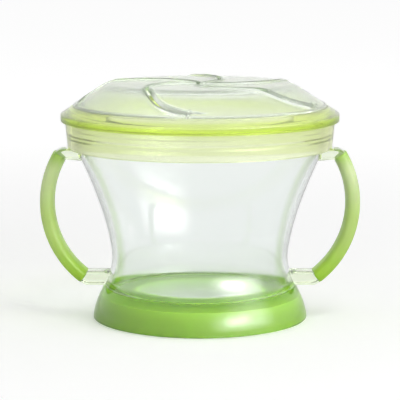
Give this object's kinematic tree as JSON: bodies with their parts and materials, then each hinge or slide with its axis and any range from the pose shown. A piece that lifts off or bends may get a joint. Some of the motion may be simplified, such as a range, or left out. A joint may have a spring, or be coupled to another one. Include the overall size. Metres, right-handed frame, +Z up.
{
  "type": "toddler snack container",
  "caption": "Waisted clear snack cup with two soft-grip side handles, a non-slip base ring and a push-on lid with soft spiral flaps that a small hand pushes through.",
  "frame": {"origin": "middle of the base on the table", "axes": "+Z up out of the mouth, the two handles along +X and -X, front towards -Y"},
  "size_m": [0.1168, 0.101, 0.087],
  "materials": {
    "clear_cup": "clear polished polypropylene, faintly cool",
    "soft_grip": "satin leaf-green thermoplastic elastomer, slightly translucent",
    "soft_base": "satin leaf-green thermoplastic elastomer, non-slip",
    "tinted_lid": "translucent yellow-green polypropylene",
    "soft_flaps": "nearly clear soft thermoplastic elastomer"
  },
  "bodies": {
    "cup_body": {"cup": "clear_cup", "left_grip": "soft_grip", "right_grip": "soft_grip", "base_ring": "soft_base"},
    "lid": {"lid_ring": "tinted_lid", "flap_collar": "soft_flaps"},
    "flap_1": {"flap_1": "soft_flaps"},
    "flap_2": {"flap_2": "soft_flaps"},
    "flap_3": {"flap_3": "soft_flaps"},
    "flap_4": {"flap_4": "soft_flaps"},
    "flap_5": {"flap_5": "soft_flaps"}
  },
  "joints": [
    {"name": "lid_lift", "type": "slide", "parent": "cup_body", "child": "lid", "axis": [0, 0, 1], "range_m": [0, 0.03]},
    {"name": "flap_1_fold", "type": "hinge", "parent": "lid", "child": "flap_1", "pos_m": [-0.02294, 0.01606, 0.08575], "axis": [0.5736, 0.8192, 0], "range_deg": [-35, 65], "stiffness_Nm_per_rad": 0.02},
    {"name": "flap_2_fold", "type": "hinge", "parent": "lid", "child": "flap_2", "pos_m": [-0.02236, -0.01685, 0.08575], "axis": [-0.6018, 0.7986, 0], "range_deg": [-35, 65], "stiffness_Nm_per_rad": 0.02},
    {"name": "flap_3_fold", "type": "hinge", "parent": "lid", "child": "flap_3", "pos_m": [0.00912, -0.02647, 0.08575], "axis": [-0.9455, -0.3256, 0], "range_deg": [-35, 65], "stiffness_Nm_per_rad": 0.02},
    {"name": "flap_4_fold", "type": "hinge", "parent": "lid", "child": "flap_4", "pos_m": [0.028, 0.00049, 0.08575], "axis": [0.0175, -0.9998, 0], "range_deg": [-35, 65], "stiffness_Nm_per_rad": 0.02},
    {"name": "flap_5_fold", "type": "hinge", "parent": "lid", "child": "flap_5", "pos_m": [0.00819, 0.02678, 0.08575], "axis": [0.9563, -0.2924, 0], "range_deg": [-35, 65], "stiffness_Nm_per_rad": 0.02}
  ]
}
